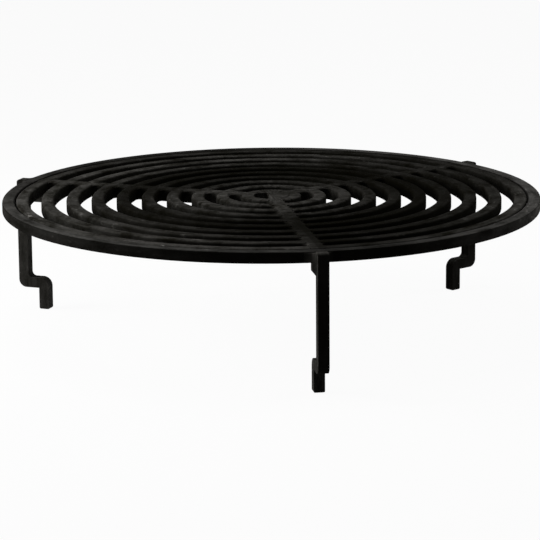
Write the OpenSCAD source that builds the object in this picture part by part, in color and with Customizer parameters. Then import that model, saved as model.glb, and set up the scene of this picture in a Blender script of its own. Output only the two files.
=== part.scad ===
// Round fire pit grill: a loose grate of concentric bar rings on three let-in spokes,
// dropped inside a rim ring that stands on three stepped legs.
// The origin is the middle of the cooking surface, on the hub plate.
// +Z is up and the front leg stands towards -Y.

/* [Grate] */
// Number of concentric ring bars
ring_count = 10; // [5:1:12]
// Distance from one ring bar to the next
ring_pitch = 20; // [17:0.5:26]
// Outer radius of the innermost ring bar
hub_ring_r = 24; // [20:1:32]
// Radial width of a ring bar
bar_w = 10; // [6:0.5:12]
// Height of the rings and the spokes
bar_h = 10; // [7:0.5:14]
// Width of a spoke
spoke_w = 12; // [8:0.5:16]
// Depth of the notch in a ring that takes the spoke
lap_d = 5; // [2.5:0.5:6]
// Clearance on each side of a bar in its notch
lap_gap = 0.1; // [0.05:0.05:0.3]
// Rounding of the bars' long edges
bar_edge_r = 1.5; // [0.4:0.1:2]
// Rounding of the inside corners where a spoke crosses a ring
crossing_r = 4; // [1:0.5:4.5]

/* [Hub] */
// Distance from the axis to the straight side of the lifting opening
lift_open_side = 1.5; // [1:0.5:6]
// How far the lifting opening reaches behind the axis
lift_open_back = 9; // [4:0.5:10]
// Rounding of the lifting opening's corner
lift_open_r = 2; // [0.5:0.5:3]

/* [Rim] */
// Clearance between the loose grate and the rim ring at the top
rim_gap = 1; // [0.5:0.25:4]
// Clearance at the foot of the rim's inner wall, which leans in to centre the grate
seat_gap = 0.4; // [0.3:0.1:0.5]
// Radial width of the rim ring
rim_w = 10; // [6:0.5:14]
// Height of the rim ring
rim_h = 8.5; // [6:0.5:14]
// Rounding of the rim ring's edges
rim_edge_r = 1.2; // [0.4:0.1:2]

/* [Legs] */
// Height of the cooking surface above the foot tips
stand_h = 109; // [80:1:160]
// Width of a leg along the rim
leg_w = 8.5; // [6:0.5:14]
// Thickness of a leg's upright and foot, measured from the axis outwards
leg_t = 8.5; // [6:0.5:12]
// How far a foot is set in from its upright
step_in = 18; // [15:0.5:30]
// Height of the step that joins an upright to its foot
step_h = 8.5; // [6:0.5:12]
// Length of a foot below the step's underside
foot_l = 18; // [10:1:30]
// Rounding of a leg's head at the outside
head_r = 2.5; // [0.5:0.5:4]
// Rounding where the upright turns in, outside the bend
heel_r = 6.5; // [2:0.5:7]
// Rounding where the upright turns in, inside the bend
throat_r = 4; // [1:0.5:6]
// Rounding where the step turns down, outside the bend
knee_r = 7.5; // [2:0.5:8]
// Rounding of a foot's tip on all four sides
toe_r = 1.5; // [0.5:0.25:2.5]
// Size of the weld fillet at the clockwise side of a leg's head, seen from above
weld_wide = 8.5; // [3:0.5:10]
// Size of the weld fillet at the other side of the head
weld_narrow = 4.5; // [2:0.5:9]
// How far the fillets stop short of the bars' tops and undersides
weld_drop = 0.6; // [0.2:0.1:1.5]

/* [Grate rests] */
// How far a rest reaches in under the outermost ring
rest_reach = 8.5; // [4:0.5:12]
// Height of a rest below the grate
rest_h = 8; // [5:0.5:16]
// Width of a rest
rest_w = 8.5; // [6:0.5:14]
// Rounding of a rest's lower inner corner
rest_r = 1.2; // [0.5:0.1:3]

/* [Hidden] */
// Overrun of cutting shapes past the faces that they cut
spill = 1;
// Straight segments in a quarter turn of a bar's rounded edge
edge_steps = 3;
// Facets of the round legs' corners, which stay true arcs
corner_fn = 48;
ring_fn = 180;

grate_r = hub_ring_r + (ring_count - 1) * ring_pitch;
hub_r = hub_ring_r - bar_w;
corner_r = min(crossing_r, (ring_pitch - bar_w) / 2 - lap_gap);
rim_in_r = grate_r + rim_gap;
rim_out_r = rim_in_r + rim_w;
leg_out_r = rim_out_r + leg_t;
foot_out_r = leg_out_r - step_in;
rest_in_r = grate_r - rest_reach;
rest_bottom = -max(bar_h, rim_h) - rest_h;
shoulder_z = -stand_h + foot_l;

ring_nodes = [for (i = [1:ring_count]) str("grate_ring_", i < 10 ? "0" : "", i)];
sides = ["front", "left", "right"];
side_turn = [0, -120, 120];

iron = [0.13, 0.13, 0.13];
iron_light = [0.19, 0.19, 0.19];

// Outer radius of a ring bar, counted from the middle
function ring_r(i) = hub_ring_r + (i - 1) * ring_pitch;

// Outline of a bar cut across, from x = 0 to w and y = -h to 0, with its four edges rounded;
// lean moves the lower corner at x = 0 outwards
function bar_outline(w, h, r, lean = 0) = [
    for (c = [[w - r, -r, 0], [r, -r, 90], [r - lean, r - h, 180], [w - r, r - h, 270]])
        for (k = [0:edge_steps])
            let (a = c[2] + 90 * k / edge_steps)
                [c[0] + r * cos(a), c[1] + r * sin(a)]
];

// Turns a piece drawn towards -Y to the front, left or right place
module at_side(i) rotate([0, 0, side_turn[i]]) children();

// Ring bar with its top face in the plane z = 0
module ring_bar(out_r, w, h, r, lean = 0)
    rotate_extrude($fn = ring_fn)
        translate([out_r - w, 0])
            polygon(bar_outline(w, h, r, lean));

// Plate in the plane through the axis and a leg, drawn with x as the radius and y as the height
module radial_plate(thickness)
    rotate([90, 0, -90])
        translate([0, 0, -thickness / 2])
            linear_extrude(thickness)
                children();

// Square corner with a quarter circle taken out, to round a corner off or to fill one in
module corner_piece(r)
    difference() {
        translate([-spill, -spill]) square(r + spill);
        translate([r, r]) circle(r, $fn = corner_fn);
    }

// Rim ring, which keeps the loose grate in place
module rim_ring()
    color(iron_light)
        ring_bar(rim_out_r, rim_w, rim_h, rim_edge_r, rim_gap - seat_gap);

// Side view of a leg: upright, step inwards with its bends, and foot
module leg_outline()
    difference() {
        union() {
            translate([rim_out_r, shoulder_z]) square([leg_t, -shoulder_z]);
            translate([foot_out_r - leg_t, shoulder_z]) square([step_in + leg_t, step_h]);
            translate([foot_out_r - leg_t, -stand_h]) square([leg_t, foot_l + step_h]);
            translate([rim_out_r, shoulder_z + step_h]) mirror([1, 0]) corner_piece(throat_r);
        }
        translate([leg_out_r, 0]) rotate(180) corner_piece(head_r);
        translate([leg_out_r, shoulder_z]) mirror([1, 0]) corner_piece(heel_r);
        translate([foot_out_r - leg_t, shoulder_z + step_h]) mirror([0, 1]) corner_piece(knee_r);
        translate([foot_out_r - leg_t, -stand_h]) corner_piece(toe_r);
        translate([foot_out_r, -stand_h]) mirror([1, 0]) corner_piece(toe_r);
    }

// Rounds the foot's tip off on both sides of the leg
module toe_cuts()
    for (side = [0, 1])
        mirror([side, 0, 0])
            translate([-leg_w / 2, leg_t + spill - foot_out_r, -stand_h])
                rotate([90, 0, 0])
                    linear_extrude(leg_t + 2 * spill)
                        corner_piece(toe_r);

// Weld fillets between a leg's two sides and the rim's outer wall, inside the rounding of the head
module head_welds()
    translate([0, 0, weld_drop - rim_h])
        linear_extrude(rim_h - 2 * weld_drop)
            difference() {
                intersection() {
                    circle(leg_out_r - head_r, $fn = ring_fn);
                    for (weld = [[-1, weld_wide], [1, weld_narrow]])
                        scale([weld[0], 1])
                            translate([leg_w / 2, -rim_out_r])
                                mirror([0, 1]) corner_piece(weld[1]);
                }
                circle(rim_out_r, $fn = ring_fn);
            }

// Stepped leg, welded by its head to the outside of the rim ring
module leg(i)
    color(iron)
        at_side(i) {
            difference() {
                radial_plate(leg_w) leg_outline();
                toe_cuts();
            }
            head_welds();
        }

// Short block under the rim ring, which carries the edge of the grate
module grate_rest(i)
    color(iron)
        at_side(i)
            radial_plate(rest_w)
                difference() {
                    union() {
                        translate([rest_in_r, rest_bottom])
                            square([rim_in_r - rest_in_r, -bar_h - rest_bottom]);
                        translate([rim_in_r, rest_bottom])
                            square([rim_w, -rim_h - rest_bottom]);
                    }
                    translate([rest_in_r, rest_bottom]) corner_piece(rest_r);
                }

// Ring bar of the grate, notched from above for the three spokes
module grate_ring(i)
    color(iron_light)
        difference() {
            ring_bar(ring_r(i), bar_w, bar_h, bar_edge_r);
            for (s = [0:2])
                at_side(s)
                    translate([-spoke_w / 2 - lap_gap, -ring_r(i) - spill, -lap_d])
                        cube([spoke_w + 2 * lap_gap, bar_w + 2 * spill, lap_d + spill]);
        }

// Plate that closes the innermost ring, with an opening at its left for a lifting hook
module hub_plate()
    color(iron_light)
        translate([0, 0, -bar_h])
            linear_extrude(bar_h)
                difference() {
                    circle(hub_r - lap_gap, $fn = ring_fn);
                    difference() {
                        translate([-hub_r, -hub_r])
                            square([hub_r - lift_open_side, hub_r + lift_open_back]);
                        translate([-lift_open_side, lift_open_back])
                            rotate(180) corner_piece(lift_open_r);
                    }
                }

// Ring k of the grate in plan, made wider by a clearance at both walls
module ring_plan(k, clearance)
    difference() {
        circle(ring_r(k) + clearance, $fn = ring_fn);
        circle(ring_r(k) - bar_w - clearance, $fn = ring_fn);
    }

// Inside corner between a spoke's side and a ring's wall, in plan; way is 1 outside and -1 inside the ring
module crossing_corner(wall_r, way) {
    across = spoke_w / 2 + corner_r;
    reach = wall_r + way * corner_r;
    mid = [across, -sqrt(reach * reach - across * across)];
    root_x = spoke_w / 2 - bar_edge_r;
    root_r = wall_r - way * spill;
    difference() {
        polygon([[root_x, -root_r], [root_x, mid.y], mid, mid * root_r / reach]);
        translate(mid) circle(corner_r, $fn = corner_fn);
    }
}

// All the rounded inside corners along a spoke, clear of the rings' walls
module crossing_corners()
    translate([0, 0, weld_drop - bar_h])
        linear_extrude(bar_h - 2 * weld_drop)
            difference() {
                for (side = [-1, 1])
                    scale([side, 1]) {
                        for (k = [1:ring_count - 1]) crossing_corner(ring_r(k), 1);
                        for (k = [2:ring_count]) crossing_corner(ring_r(k) - bar_w, -1);
                    }
                for (k = [1:ring_count]) ring_plan(k, lap_gap);
            }

// Straight bar from the hub plate to the edge of the grate, square-edged where it crosses the rings
module spoke_blank()
    intersection() {
        union() {
            rotate([90, 0, 0])
                linear_extrude(grate_r + spill)
                    translate([-spoke_w / 2, 0])
                        polygon(bar_outline(spoke_w, bar_h, bar_edge_r));
            translate([0, 0, -lap_d])
                linear_extrude(lap_d)
                    intersection() {
                        translate([-spoke_w / 2, -grate_r]) square([spoke_w, grate_r]);
                        for (k = [1:ring_count]) ring_plan(k, -bar_edge_r);
                    }
        }
        translate([0, 0, -bar_h - spill])
            linear_extrude(bar_h + 2 * spill)
                difference() {
                    circle(grate_r, $fn = ring_fn);
                    circle(hub_r, $fn = ring_fn);
                }
    }

// Spoke, notched from below over every ring bar so that all the tops lie level
module spoke(i)
    color(iron_light)
        at_side(i) {
            difference() {
                spoke_blank();
                translate([0, 0, -bar_h - spill])
                    linear_extrude(bar_h + spill - lap_d)
                        for (k = [1:ring_count]) ring_plan(k, lap_gap);
            }
            crossing_corners();
        }

rim_ring();
for (i = [0:2]) leg(i);
for (i = [0:2]) grate_rest(i);
for (i = [1:ring_count]) grate_ring(i);
hub_plate();
for (i = [0:2]) spoke(i);
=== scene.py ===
import math
import bpy
from mathutils import Matrix, Vector


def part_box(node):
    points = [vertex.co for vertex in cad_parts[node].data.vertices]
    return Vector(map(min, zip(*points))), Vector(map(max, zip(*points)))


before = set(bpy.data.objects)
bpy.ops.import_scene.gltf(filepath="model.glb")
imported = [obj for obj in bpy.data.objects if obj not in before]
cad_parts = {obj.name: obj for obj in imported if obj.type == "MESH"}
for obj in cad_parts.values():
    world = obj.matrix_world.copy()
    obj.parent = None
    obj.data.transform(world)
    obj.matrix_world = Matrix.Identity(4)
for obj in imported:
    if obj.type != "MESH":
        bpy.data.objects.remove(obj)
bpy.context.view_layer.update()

bpy.ops.object.select_all(action="DESELECT")
scene = bpy.context.scene
scene.view_settings.view_transform = "Standard"
print("frame loaded:", len(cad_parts), "nodes")


# camera, matched to the photograph: long lens, low over the cooking surface, front leg right of the middle
cameraView = {
    "distance": 2.1630,   # from the middle of the cooking surface
    "elevation": 11.226,  # degrees above it
    "azimuth": -9.657,    # degrees from straight ahead, so the front leg stands to the right
    "pan": 0.040,
    "tilt": -1.595,
    "roll": 0.405,
    "lens": 179.78,
    "sensor": 36,
}


def turnAbout(axis, degrees):
    return Matrix.Rotation(math.radians(degrees), 3, axis)


def makeCamera(view):
    elevation, azimuth = math.radians(view["elevation"]), math.radians(view["azimuth"])
    place = view["distance"] * Vector((
        math.cos(elevation) * math.sin(azimuth),
        -math.cos(elevation) * math.cos(azimuth),
        math.sin(elevation),
    ))
    forward = -place.normalized()
    right = forward.cross(Vector((0, 0, 1))).normalized()
    looking = Matrix((right, right.cross(forward), forward))
    turn = turnAbout("Z", view["roll"]) @ turnAbout("X", view["tilt"]) @ turnAbout("Y", view["pan"])
    rows = turn @ looking
    data = bpy.data.cameras.new("photoCamera")
    data.sensor_width = view["sensor"]
    data.lens = view["lens"]
    camera = bpy.data.objects.new("photoCamera", data)
    scene.collection.objects.link(camera)
    camera.matrix_world = Matrix((rows[0], rows[1], -rows[2])).transposed().to_4x4()
    camera.matrix_world.translation = place
    scene.camera = camera


makeCamera(cameraView)
print("camera placed")


# small helpers for shader nodes
def addNode(tree, kind, **settings):
    node = tree.nodes.new(kind)
    for name, value in settings.items():
        setattr(node, name, value)
    return node


def setInputs(node, **values):
    for name, value in values.items():
        node.inputs[name.replace("_", " ")].default_value = value
    return node


def greyOf(value):
    return (value, value, value, 1)


# studio: pale floor, white surround for what the camera and the reflections see, soft lamps
studio = {
    "floorSize": 24,
    "floorGrey": 0.6,
    "floorGlow": 0.95,      # share of plain white that the camera sees on the floor, the rest keeps the shadow
    "skyLight": 0.10,       # world strength for diffuse light
    "lamps": {
        "left": {"place": (-0.90, 0.20, 0.26), "size": 0.5, "power": 13},
        "right": {"place": (1.20, 0.20, 0.27), "size": 0.6, "power": 8},
        "overhead": {"place": (-0.3, 0.1, 1.8), "size": 1.2, "power": 13.5},
    },
}


def makeFloor(values, height):
    bpy.ops.mesh.primitive_plane_add(size=values["floorSize"], location=(0, 0, height))
    floor = bpy.context.active_object
    floor.name = "studioFloor"
    paint = bpy.data.materials.new("paleFloor")
    paint.use_nodes = True
    tree = paint.node_tree
    tree.nodes.clear()
    path = addNode(tree, "ShaderNodeLightPath")
    share = addNode(tree, "ShaderNodeMath", operation="MULTIPLY")
    share.inputs[1].default_value = values["floorGlow"]
    matt = setInputs(addNode(tree, "ShaderNodeBsdfDiffuse"), Color=greyOf(values["floorGrey"]))
    glow = setInputs(addNode(tree, "ShaderNodeEmission"), Color=greyOf(1), Strength=1)
    mix = addNode(tree, "ShaderNodeMixShader")
    out = addNode(tree, "ShaderNodeOutputMaterial")
    seen = addNode(tree, "ShaderNodeMath", operation="MAXIMUM")
    tree.links.new(path.outputs["Is Camera Ray"], seen.inputs[0])
    tree.links.new(path.outputs["Is Glossy Ray"], seen.inputs[1])
    tree.links.new(seen.outputs[0], share.inputs[0])
    tree.links.new(share.outputs[0], mix.inputs[0])
    tree.links.new(matt.outputs[0], mix.inputs[1])
    tree.links.new(glow.outputs[0], mix.inputs[2])
    tree.links.new(mix.outputs[0], out.inputs["Surface"])
    floor.data.materials.append(paint)


def makeSky(values):
    sky = bpy.data.worlds.new("studioSky")
    scene.world = sky
    sky.use_nodes = True
    tree = sky.node_tree
    tree.nodes.clear()
    path = addNode(tree, "ShaderNodeLightPath")
    glossy = addNode(tree, "ShaderNodeMath", operation="MAXIMUM")
    seen = addNode(tree, "ShaderNodeMath", operation="MAXIMUM")
    light = setInputs(addNode(tree, "ShaderNodeBackground"), Color=greyOf(1), Strength=values["skyLight"])
    white = setInputs(addNode(tree, "ShaderNodeBackground"), Color=greyOf(1), Strength=1)
    mix = addNode(tree, "ShaderNodeMixShader")
    out = addNode(tree, "ShaderNodeOutputWorld")
    tree.links.new(path.outputs["Is Glossy Ray"], glossy.inputs[0])
    tree.links.new(path.outputs["Is Transmission Ray"], glossy.inputs[1])
    tree.links.new(path.outputs["Is Camera Ray"], seen.inputs[0])
    tree.links.new(glossy.outputs[0], seen.inputs[1])
    tree.links.new(seen.outputs[0], mix.inputs[0])
    tree.links.new(light.outputs[0], mix.inputs[1])
    tree.links.new(white.outputs[0], mix.inputs[2])
    tree.links.new(mix.outputs[0], out.inputs["Surface"])


def makeLamp(name, values):
    data = bpy.data.lights.new(name, "AREA")
    data.shape = "DISK"
    data.size = values["size"]
    data.energy = values["power"]
    lamp = bpy.data.objects.new(name, data)
    scene.collection.objects.link(lamp)
    place = Vector(values["place"])
    lamp.rotation_euler = (-place).to_track_quat("-Z", "Y").to_euler()
    lamp.location = place


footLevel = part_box("leg_front")[0].z
makeFloor(studio, footLevel)
makeSky(studio)
for lampName, lampValues in studio["lamps"].items():
    makeLamp(lampName, lampValues)
print("studio ready")


# finishes: sooty black iron with painted light and shade: level tops painted paler than the sides, tone painted by
# direction round the axis and on the sides turned left and right; the grate is darkest between hub and edge
finishes = {
    "grateIron": {
        # darkest colour: soot, and painted shade where the painted light share is low
        "shadeAndSootColour": (0.0018, 0.0016, 0.0008),
        "darkColour": (0.0070, 0.0065, 0.0047),
        "paleColour": (0.0560, 0.0540, 0.0500),
        # painted glints: small pale spots
        "glintColour": (0.150, 0.145, 0.135),
        "wallLightShare": 0.16,     # how much of the pale tone the sides keep: painted shade on the sides against the level tops
        # pale share by distance from the middle, in metres, in front of it and behind it; front and back differ as
        # painted light and shade
        "frontZones": [(0.020, 0.85), (0.045, 1.0), (0.064, 0.95), (0.085, 0.60), (0.105, 0.22), (0.122, 0.06), (0.145, 0.13),
                       (0.170, 0.42), (0.190, 0.95), (0.205, 2.4)],
        "backZones": [(0.020, 0.75), (0.045, 0.75), (0.064, 0.43), (0.085, 0.12), (0.118, 0.10), (0.140, 0.85), (0.170, 1.3),
                      (0.205, 0.30)],
        # painted light by direction, in turns from the front over right, back and left
        "lightAround": [(0.03, 0.26), (0.18, 0.70), (0.28, 0.36), (0.36, 0.42), (0.50, 0.85), (0.68, 0.85), (0.78, 1.4), (0.90, 1.4),
                   (1.0, 0.45)],
        "sideLightShares": (0.25, 0),  # painted light on the sides turned left and right
        "topsFrom": 0.45,      # how level a surface has to be to count as a top
        "topsLightLean": 1,         # 0 where the level tops get the same painted light all round
        "glintCut": 0.60,      # how rare the painted glints are
        "patchScale": 30,      # features per metre
        "mottleScale": 170,
        "grainScale": 480,
        "streaks": ("round", 9, 130),
        "roughRubbed": 0.68,
        "roughSooty": 1.0,
        "specular": 0.003,
        "grainBump": 0.22,
        "patchBump": 0.3,
    },
    "rimIron": {
        "shadeAndSootColour": (0.0018, 0.0016, 0.0011),
        "darkColour": (0.0130, 0.0125, 0.0112),
        "paleColour": (0.0680, 0.0660, 0.0620),
        "glintColour": (0.150, 0.145, 0.135),
        "wallLightShare": 0.05,
        "frontZones": [(0.150, 0.85), (0.230, 0.85)],
        "backZones": [(0.150, 0.85), (0.230, 0.85)],
        # painted light on the rim by direction round the axis
        "lightAround": [(0.03, 0.45), (0.14, 1.3), (0.22, 2.2), (0.33, 1.6), (0.42, 1.0), (0.49, 0.25), (0.60, 0.30), (0.70, 0.60), (0.80, 1.1),
                   (0.93, 0.9), (1.0, 0.50)],
        "sideLightShares": (0.14, 0.35),
        "topsFrom": 0.80,
        "topsLightLean": 1,
        "glintCut": 0.61,
        "patchScale": 28,
        "mottleScale": 170,
        "grainScale": 500,
        "streaks": ("round", 9, 130),
        "roughRubbed": 0.66,
        "roughSooty": 0.95,
        "specular": 0.006,
        "grainBump": 0.18,
        "patchBump": 0.25,
    },
    "legIron": {
        "shadeAndSootColour": (0.0020, 0.0018, 0.0012),
        "darkColour": (0.0120, 0.0115, 0.0098),
        "paleColour": (0.0420, 0.0405, 0.0370),
        "glintColour": (0.080, 0.078, 0.072),
        "wallLightShare": 0.39,
        "frontZones": [(0.150, 1.0), (0.230, 1.0)],
        "backZones": [(0.150, 1.0), (0.230, 1.0)],
        # painted light: the left leg paler, the right leg darker
        "lightAround": [(0.34, 0.33), (0.50, 1.0), (0.66, 1.67)],
        # painted light on the legs' sides turned to the right
        "sideLightShares": (0, 0.95),
        "topsFrom": 0.45,
        "topsLightLean": 0,
        "glintCut": 0.66,
        "patchScale": 30,
        "mottleScale": 170,
        "grainScale": 520,
        "streaks": ("down", 260, 40),
        "roughRubbed": 0.62,
        "roughSooty": 0.9,
        "specular": 0.004,
        "grainBump": 0.2,
        "patchBump": 0.25,
    },
}
# painted light: the walls of the hub's opening keep more of the pale tone than the other grate walls
finishes["hubIronLitWalls"] = {**finishes["grateIron"], "wallLightShare": 0.7, "frontZones": [(0.010, 0.85), (0.030, 0.85)],
                       "backZones": [(0.010, 0.85), (0.030, 0.85)], "grainBump": 0.1, "patchBump": 0.15}
# painted light and shade on the spokes by distance from the middle, in front of it
finishes["spokeIron"] = {**finishes["grateIron"], "frontZones": [(0.020, 0.90), (0.050, 1.3), (0.075, 0.9), (0.105, 0.30),
                                                                 (0.130, 0.20), (0.170, 0.60), (0.205, 1.6)]}
# painted light: the rests' sides paler than the legs'
finishes["restIronLit"] = {**finishes["legIron"], "wallLightShare": 0.5}
# painted light and shade on the front leg: its front face darker, its left-turned faces and its low part nearer the
# axis paler
finishes["frontLegIronLitAndShaded"] = {**finishes["legIron"], "wallLightShare": 0.13, "sideLightShares": (1, 0), "lightAround": [(0, 1), (1, 1)],
                            "frontZones": [(0.207, 3.5), (0.213, 1.0)], "backZones": [(0.207, 3.5), (0.213, 1.0)]}
finishOf = {"grate_ring": "grateIron", "spoke": "spokeIron", "hub": "hubIronLitWalls", "rim": "rimIron", "leg": "legIron",
            "grate_rest": "restIronLit", "leg_front": "frontLegIronLitAndShaded"}
zoneSpan = 0.25  # radius at the end of the zone ramp, in metres
evenWithin, unevenBeyond = 0.05, 0.12  # radii between which the direction begins to count


def makeIron(name, values):
    iron = bpy.data.materials.new(name)
    iron.use_nodes = True
    tree = iron.node_tree
    shader = tree.nodes["Principled BSDF"]
    shader.inputs["Specular IOR Level"].default_value = values["specular"]
    place = addNode(tree, "ShaderNodeTexCoord")

    def feed(socket, value):
        if isinstance(value, (int, float)):
            socket.default_value = value
        elif isinstance(value, tuple):
            socket.default_value = value if len(socket.default_value) == len(value) else (*value, 1)
        else:
            tree.links.new(value, socket)

    def maths(operation, first, second):
        node = addNode(tree, "ShaderNodeMath", operation=operation)
        feed(node.inputs[0], first)
        feed(node.inputs[1], second)
        return node.outputs[0]

    def noise(vector, scale, detail, rough):
        node = setInputs(addNode(tree, "ShaderNodeTexNoise"), Scale=scale, Detail=detail, Roughness=rough)
        tree.links.new(vector, node.inputs["Vector"])
        return node.outputs["Fac"]

    def ramp(source, stops):
        node = addNode(tree, "ShaderNodeValToRGB")
        while len(node.color_ramp.elements) < len(stops):
            node.color_ramp.elements.new(0.5)
        for element, (position, grey) in zip(node.color_ramp.elements, stops):
            element.position = position
            element.color = greyOf(grey)
        tree.links.new(source, node.inputs["Fac"])
        return node.outputs["Color"]

    def blend(share, first, second):
        node = addNode(tree, "ShaderNodeMix", data_type="RGBA")
        tree.links.new(share, node.inputs["Factor"])
        feed(node.inputs["A"], first)
        feed(node.inputs["B"], second)
        return node.outputs["Result"]

    spot = place.outputs["Object"]
    axes = addNode(tree, "ShaderNodeSeparateXYZ")
    tree.links.new(spot, axes.inputs[0])
    flat = addNode(tree, "ShaderNodeVectorMath", operation="MULTIPLY")
    flat.inputs[1].default_value = (1, 1, 0)
    tree.links.new(spot, flat.inputs[0])
    radius = addNode(tree, "ShaderNodeVectorMath", operation="LENGTH")
    tree.links.new(flat.outputs[0], radius.inputs[0])
    radius = radius.outputs["Value"]

    # streaks drawn out round the axis or down a leg
    way, along, across = values["streaks"]
    drawn = addNode(tree, "ShaderNodeCombineXYZ")
    if way == "round":
        feed(drawn.inputs["X"], maths("MULTIPLY", maths("DIVIDE", axes.outputs["X"], radius), along))
        feed(drawn.inputs["Y"], maths("MULTIPLY", maths("DIVIDE", axes.outputs["Y"], radius), along))
        feed(drawn.inputs["Z"], maths("MULTIPLY", maths("ADD", axes.outputs["Z"], radius), across))
    else:
        feed(drawn.inputs["X"], maths("MULTIPLY", axes.outputs["X"], along))
        feed(drawn.inputs["Y"], maths("MULTIPLY", axes.outputs["Y"], along))
        feed(drawn.inputs["Z"], maths("MULTIPLY", axes.outputs["Z"], across))
    streaks = noise(drawn.outputs[0], 1, 3, 0.55)
    patches = noise(spot, values["patchScale"], 4, 0.58)
    mottle = noise(spot, values["mottleScale"], 4, 0.6)
    grain = noise(spot, values["grainScale"], 3, 0.6)
    glintNoise = noise(drawn.outputs[0], 2.2, 3, 0.55)

    # painted light share: high on the level tops, set by direction round the axis, on the sides turned left and right
    # and in rings about the axis, broken up by patches
    facing = addNode(tree, "ShaderNodeSeparateXYZ")
    tree.links.new(place.outputs["Normal"], facing.inputs[0])
    tops = ramp(facing.outputs["Z"], [(values["topsFrom"], 0), (0.98, 1)])
    outwards = maths("DIVIDE", radius, zoneSpan)
    # painted light and shade: separate pale shares in front of the middle and behind it
    inFront, atBack = [ramp(outwards, [(r / zoneSpan, share) for r, share in values[key]]) for key in ("frontZones", "backZones")]
    behind = ramp(maths("DIVIDE", axes.outputs["Y"], radius), [(0, 0.25), (0.8, 1)])
    zone = maths("ADD", inFront, maths("MULTIPLY", behind, maths("SUBTRACT", atBack, inFront)))
    turn = maths("DIVIDE", maths("ARCTAN2", axes.outputs["X"], maths("MULTIPLY", axes.outputs["Y"], -1)), math.tau)
    # painted light by direction round the axis
    lightAround = maths("SUBTRACT", ramp(maths("FRACT", turn, 0), values["lightAround"]), 1)
    # painted light on the sides turned left and right
    leftShare, rightShare = values["sideLightShares"]
    turned = maths("ADD", maths("MAXIMUM", maths("MULTIPLY", facing.outputs["X"], -leftShare), 0),
                   maths("MAXIMUM", maths("MULTIPLY", facing.outputs["X"], rightShare), 0))
    lightAround = maths("MULTIPLY", lightAround, ramp(outwards, [(evenWithin / zoneSpan, 0.2), (unevenBeyond / zoneSpan, 1)]))
    # painted shade: the sides keep only part of the pale tone that the level tops get
    wallTone = maths("MULTIPLY", maths("ADD", lightAround, 1), maths("ADD", turned, values["wallLightShare"]))
    topTone = maths("ADD", maths("MULTIPLY", lightAround, values["topsLightLean"]), 1)
    level = maths("ADD", wallTone, maths("MULTIPLY", tops, maths("SUBTRACT", topTone, wallTone)))
    paintedLightShare = maths("MULTIPLY", level, zone)

    tone = maths("ADD", maths("ADD", maths("MULTIPLY", patches, 0.30), maths("MULTIPLY", streaks, 0.45)),
                 maths("ADD", maths("MULTIPLY", mottle, 0.13), maths("MULTIPLY", grain, 0.12)))
    skin = blend(ramp(tone, [(0.40, 0), (0.62, 1)]), values["darkColour"], values["paleColour"])
    # painted light and shade: the share blends the darkest colour with the mottled skin
    skinWithPaintedLight = blend(paintedLightShare, values["shadeAndSootColour"], skin)
    # painted glints: small pale spots where the painted light share is high
    glints = maths("MULTIPLY", ramp(glintNoise, [(values["glintCut"], 0), (values["glintCut"] + 0.18, 1)]),
                   maths("MULTIPLY", paintedLightShare, ramp(patches, [(0.46, 0), (0.60, 1)])))
    tree.links.new(blend(glints, skinWithPaintedLight, values["glintColour"]), shader.inputs["Base Color"])

    dull = addNode(tree, "ShaderNodeMapRange")
    setInputs(dull, From_Min=0, From_Max=1, To_Min=values["roughSooty"], To_Max=values["roughRubbed"])
    tree.links.new(maths("MULTIPLY", paintedLightShare, ramp(tone, [(0.42, 0.2), (0.60, 1)])), dull.inputs["Value"])
    tree.links.new(dull.outputs["Result"], shader.inputs["Roughness"])

    wavy = setInputs(addNode(tree, "ShaderNodeBump"), Strength=values["patchBump"], Distance=0.0012)
    tree.links.new(mottle, wavy.inputs["Height"])
    sandy = setInputs(addNode(tree, "ShaderNodeBump"), Strength=values["grainBump"], Distance=0.0005)
    tree.links.new(grain, sandy.inputs["Height"])
    tree.links.new(wavy.outputs["Normal"], sandy.inputs["Normal"])
    tree.links.new(sandy.outputs["Normal"], shader.inputs["Normal"])
    return iron


ironOf = {name: makeIron(name, values) for name, values in finishes.items()}
for nodeName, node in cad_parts.items():
    finish = finishOf.get(nodeName) or finishOf[nodeName.rpartition("_")[0]]
    node.data.materials.clear()
    node.data.materials.append(ironOf[finish])
print("finishes assigned")
